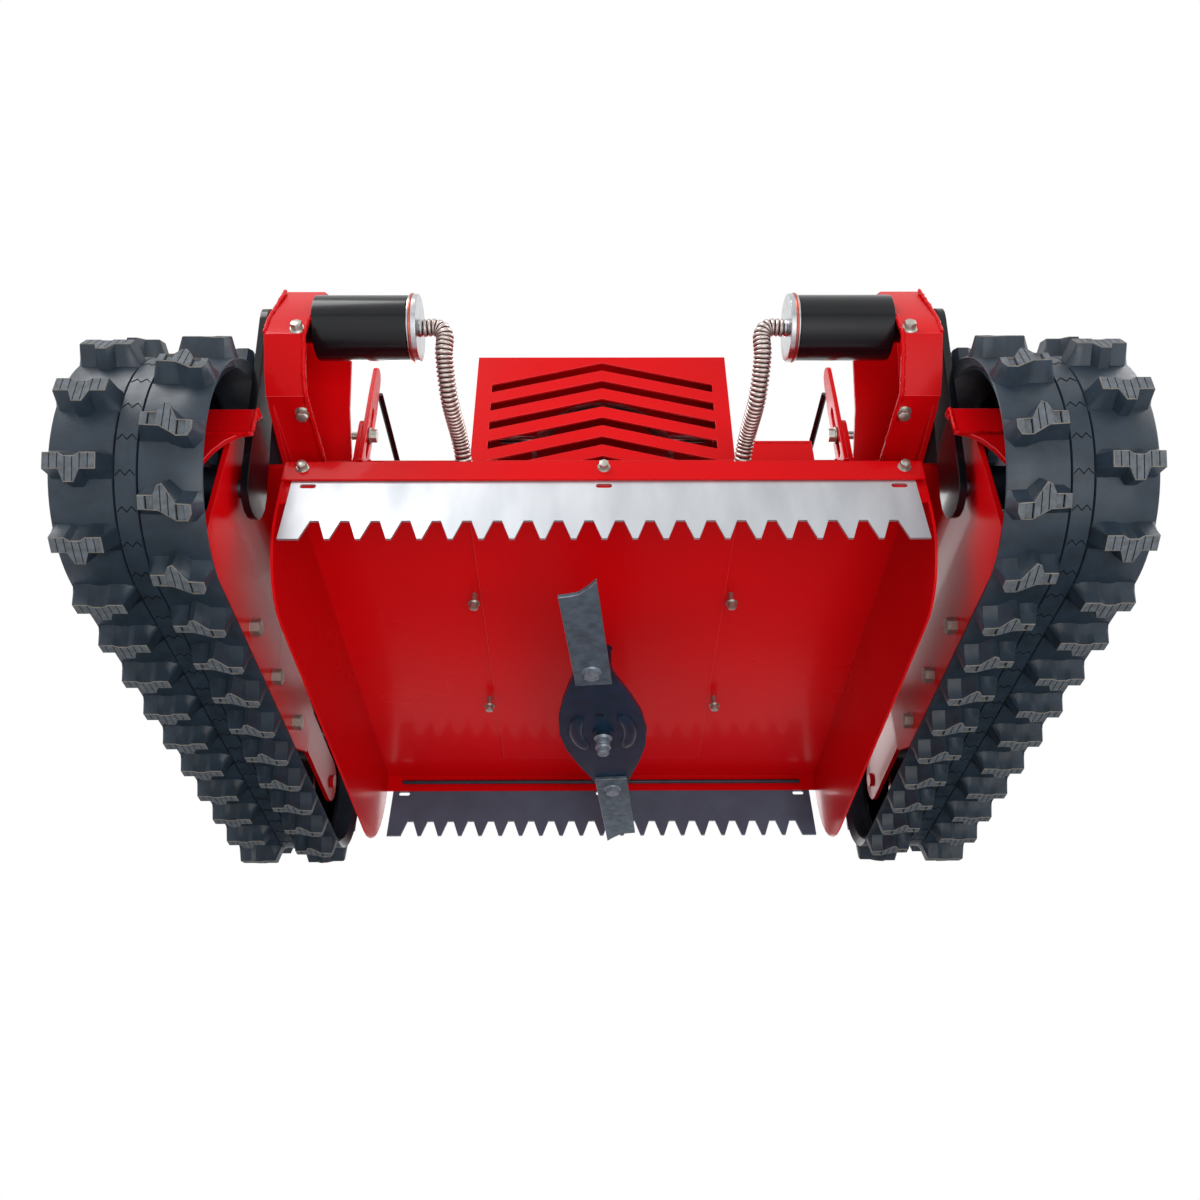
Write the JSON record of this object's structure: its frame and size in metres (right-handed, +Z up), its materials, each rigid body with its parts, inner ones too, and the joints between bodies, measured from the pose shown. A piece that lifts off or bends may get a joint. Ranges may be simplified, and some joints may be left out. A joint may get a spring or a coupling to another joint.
{
  "type": "remote-controlled tracked mower",
  "caption": "Remote-controlled slope mower: rubber tracks beside a height-adjustable rotary deck with toothed guards, swing blades, travel motors and a slotted engine guard.",
  "frame": {"origin": "centre of the bounding box on the ground that the tracks stand on", "axes": "+X across the machine to the right, +Y from the travel motors and slotted engine guard towards the fuel tank end, +Z up"},
  "size_m": [1.084, 0.9406, 0.52],
  "materials": {
    "red_enamel": "glossy enamel with weld beads",
    "black_enamel": "gloss black enamel",
    "track_rubber": "matt rubber with scuffed lug tips",
    "bright_steel": "brushed bright steel",
    "oiled_steel": "dark mottled steel",
    "zinc_plate": "bright zinc plate",
    "grey_casting": "sand-cast grey",
    "black_plastic": "fine grained black",
    "red_plastic": "smooth red"
  },
  "bodies": {
    "chassis": {"belt_left": "track_rubber", "belt_right": "track_rubber", "track_frame_left": "red_enamel", "track_frame_right": "red_enamel", "chain_case_left": "black_enamel", "chain_case_right": "black_enamel", "side_plate_left": "red_enamel", "side_plate_right": "red_enamel", "bridge_left": "red_enamel", "bridge_right": "red_enamel", "motor_left": "black_enamel", "motor_right": "black_enamel", "motor_cap_left": "bright_steel", "motor_cap_right": "bright_steel", "conduit_left": "bright_steel", "conduit_right": "bright_steel", "hanger_left": "red_enamel", "hanger_right": "red_enamel", "stay_left": "black_enamel", "stay_right": "black_enamel", "front_beam": "red_enamel", "rear_beam": "red_enamel", "lift_actuator": "black_enamel", "receiver_box": "red_enamel", "receiver_lid": "red_enamel", "battery_console": "red_enamel"},
    "deck": {"deck_shell": "red_enamel", "deck_doubler": "red_enamel", "comb_front": "bright_steel", "comb_rear": "oiled_steel", "front_strip": "red_enamel", "rear_strip": "red_enamel", "engine_block": "grey_casting", "engine_cowl": "grey_casting", "engine_guard": "red_enamel", "fuel_tank": "black_plastic", "lift_rod": "bright_steel", "hanger_bolt_left": "zinc_plate", "hanger_bolt_right": "zinc_plate"},
    "spindle": {"blade_carrier": "black_enamel", "blade_bolt_near": "zinc_plate", "blade_bolt_far": "zinc_plate"},
    "near_blade": {"blade_near": "oiled_steel"},
    "far_blade": {"blade_far": "oiled_steel"},
    "button": {"stop_button": "red_plastic"},
    "key": {"key_switch": "bright_steel"},
    "cap": {"fuel_cap": "black_plastic"},
    "grip": {"starter_grip": "black_plastic"},
    "sprocket_left": {"sprocket_left": "oiled_steel"},
    "yoke_left": {"tension_yoke_left": "red_enamel"},
    "idler_left": {"idler_left": "black_enamel"},
    "roller_left_1": {"roller_left_1": "black_enamel"},
    "roller_left_2": {"roller_left_2": "black_enamel"},
    "roller_left_3": {"roller_left_3": "black_enamel"},
    "sprocket_right": {"sprocket_right": "oiled_steel"},
    "yoke_right": {"tension_yoke_right": "red_enamel"},
    "idler_right": {"idler_right": "black_enamel"},
    "roller_right_1": {"roller_right_1": "black_enamel"},
    "roller_right_2": {"roller_right_2": "black_enamel"},
    "roller_right_3": {"roller_right_3": "black_enamel"}
  },
  "joints": [
    {"name": "deck_lift", "type": "slide", "parent": "chassis", "child": "deck", "axis": [0, 0, 1], "range_m": [-0.03, 0.04]},
    {"name": "blade_spin", "type": "hinge", "parent": "deck", "child": "spindle", "pos_m": [0, 0.067, 0.0675], "axis": [0, 0, 1], "continuous": true},
    {"name": "near_blade_swing", "type": "hinge", "parent": "spindle", "child": "near_blade", "pos_m": [-0.0145, -0.08933, 0.062], "axis": [0, 0, 1], "range_deg": [-120, 120]},
    {"name": "far_blade_swing", "type": "hinge", "parent": "spindle", "child": "far_blade", "pos_m": [0.0145, 0.22333, 0.062], "axis": [0, 0, 1], "range_deg": [-120, 120]},
    {"name": "sprocket_left_turn", "type": "hinge", "parent": "chassis", "child": "sprocket_left", "pos_m": [-0.4665, -0.307, 0.1635], "axis": [1, 0, 0], "continuous": true},
    {"name": "tension_left", "type": "slide", "parent": "chassis", "child": "yoke_left", "axis": [0, -1, 0], "range_m": [0, 0.008]},
    {"name": "idler_left_turn", "type": "hinge", "parent": "yoke_left", "child": "idler_left", "pos_m": [-0.4665, 0.316, 0.122], "axis": [1, 0, 0], "continuous": true},
    {"name": "roller_left_1_turn", "type": "hinge", "parent": "chassis", "child": "roller_left_1", "pos_m": [-0.4665, -0.185, 0.0623], "axis": [1, 0, 0], "continuous": true},
    {"name": "roller_left_2_turn", "type": "hinge", "parent": "chassis", "child": "roller_left_2", "pos_m": [-0.4665, -0.08, 0.0623], "axis": [1, 0, 0], "continuous": true},
    {"name": "roller_left_3_turn", "type": "hinge", "parent": "chassis", "child": "roller_left_3", "pos_m": [-0.4665, 0.03, 0.0623], "axis": [1, 0, 0], "continuous": true},
    {"name": "sprocket_right_turn", "type": "hinge", "parent": "chassis", "child": "sprocket_right", "pos_m": [0.4665, -0.307, 0.1635], "axis": [1, 0, 0], "continuous": true},
    {"name": "tension_right", "type": "slide", "parent": "chassis", "child": "yoke_right", "axis": [0, -1, 0], "range_m": [0, 0.008]},
    {"name": "idler_right_turn", "type": "hinge", "parent": "yoke_right", "child": "idler_right", "pos_m": [0.4665, 0.316, 0.122], "axis": [1, 0, 0], "continuous": true},
    {"name": "roller_right_1_turn", "type": "hinge", "parent": "chassis", "child": "roller_right_1", "pos_m": [0.4665, -0.185, 0.0623], "axis": [1, 0, 0], "continuous": true},
    {"name": "roller_right_2_turn", "type": "hinge", "parent": "chassis", "child": "roller_right_2", "pos_m": [0.4665, -0.08, 0.0623], "axis": [1, 0, 0], "continuous": true},
    {"name": "roller_right_3_turn", "type": "hinge", "parent": "chassis", "child": "roller_right_3", "pos_m": [0.4665, 0.03, 0.0623], "axis": [1, 0, 0], "continuous": true},
    {"name": "stop_press", "type": "slide", "parent": "chassis", "child": "button", "axis": [0, -1, 0], "range_m": [0, 0.0035], "stiffness_N_per_m": 600},
    {"name": "key_turn", "type": "hinge", "parent": "chassis", "child": "key", "pos_m": [-0.08, 0.35, 0.32115], "axis": [0, 1, 0], "range_deg": [0, 90]},
    {"name": "cap_turn", "type": "hinge", "parent": "deck", "child": "cap", "pos_m": [0.045, 0.2035, 0.4403], "axis": [0, 0, 1], "range_deg": [0, 90]},
    {"name": "starter_pull", "type": "slide", "parent": "deck", "child": "grip", "axis": [0, 1, 0], "range_m": [0, 0.5], "stiffness_N_per_m": 40}
  ],
  "couplings": [
    {"joint": "idler_left_turn", "follows": "sprocket_left_turn", "ratio": 1.4826},
    {"joint": "roller_left_1_turn", "follows": "sprocket_left_turn", "ratio": 4.9038},
    {"joint": "roller_left_2_turn", "follows": "sprocket_left_turn", "ratio": 4.9038},
    {"joint": "roller_left_3_turn", "follows": "sprocket_left_turn", "ratio": 4.9038},
    {"joint": "idler_right_turn", "follows": "sprocket_right_turn", "ratio": 1.4826},
    {"joint": "roller_right_1_turn", "follows": "sprocket_right_turn", "ratio": 4.9038},
    {"joint": "roller_right_2_turn", "follows": "sprocket_right_turn", "ratio": 4.9038},
    {"joint": "roller_right_3_turn", "follows": "sprocket_right_turn", "ratio": 4.9038}
  ]
}
